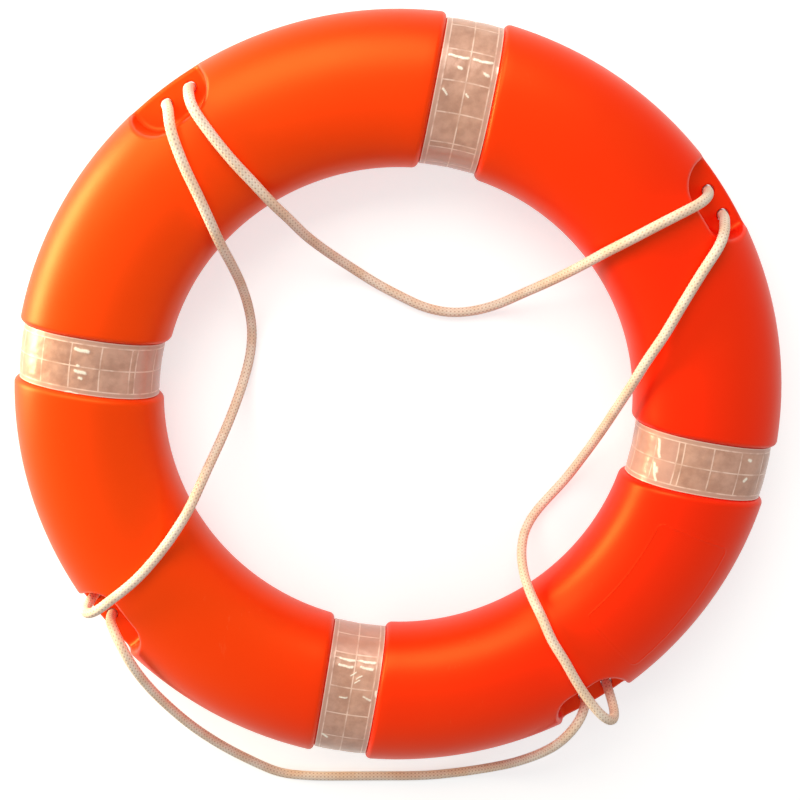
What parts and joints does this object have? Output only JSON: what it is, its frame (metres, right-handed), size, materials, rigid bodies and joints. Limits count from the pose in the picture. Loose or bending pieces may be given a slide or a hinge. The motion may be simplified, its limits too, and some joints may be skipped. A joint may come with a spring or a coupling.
{
  "type": "life ring",
  "caption": "Round foam-filled plastic life ring with reflective tape bands in grooves and a grab line laced through webs in its outer edge.",
  "frame": {"origin": "centre of the ring, on the ground that its back rests on", "axes": "+Z along the ring's axis, out of its front; +Y towards the top of the picture"},
  "size_m": [0.72, 0.7787, 0.1169],
  "materials": {
    "shell_plastic": "orange-red moulded polyethylene, satin gloss",
    "plug_plastic": "orange-red moulded plastic",
    "reflective_tape": "silvery prismatic reflective sheet",
    "line_fibre": "cream braided fibre",
    "foam": "rigid closed-cell foam"
  },
  "bodies": {
    "ring": {"shell": "shell_plastic", "foam_core": "foam", "filler_plug": "plug_plastic", "vent_plug": "plug_plastic", "tape_band_top": "reflective_tape", "tape_band_left": "reflective_tape", "tape_band_bottom": "reflective_tape", "tape_band_right": "reflective_tape", "line_turn_1": "line_fibre", "line_turn_2": "line_fibre", "line_turn_4": "line_fibre", "line_knot_start": "line_fibre", "line_knot_end": "line_fibre"},
    "top_loop": {"grab_line_top": "line_fibre"},
    "left_loop": {"grab_line_left": "line_fibre"},
    "bottom_loop": {"grab_line_bottom": "line_fibre"},
    "right_loop": {"grab_line_right": "line_fibre"}
  },
  "joints": [
    {"name": "top_loop_swing", "type": "hinge", "parent": "ring", "child": "top_loop", "pos_m": [0.04795, 0.24738, 0.0626], "axis": [-0.9816, 0.1907, 0], "range_deg": [0, 56]},
    {"name": "left_loop_swing", "type": "hinge", "parent": "ring", "child": "left_loop", "pos_m": [-0.25142, 0.04634, 0.0626], "axis": [-0.1887, -0.982, 0], "range_deg": [0, 46]},
    {"name": "bottom_loop_swing", "type": "hinge", "parent": "ring", "child": "bottom_loop", "pos_m": [-0.04796, -0.25144, 0.0626], "axis": [-0.9823, 0.1874, 0], "range_deg": [0, 37]},
    {"name": "right_loop_swing", "type": "hinge", "parent": "ring", "child": "right_loop", "pos_m": [0.2514, -0.05041, 0.0626], "axis": [0.1892, 0.9819, 0], "range_deg": [0, 40]}
  ]
}
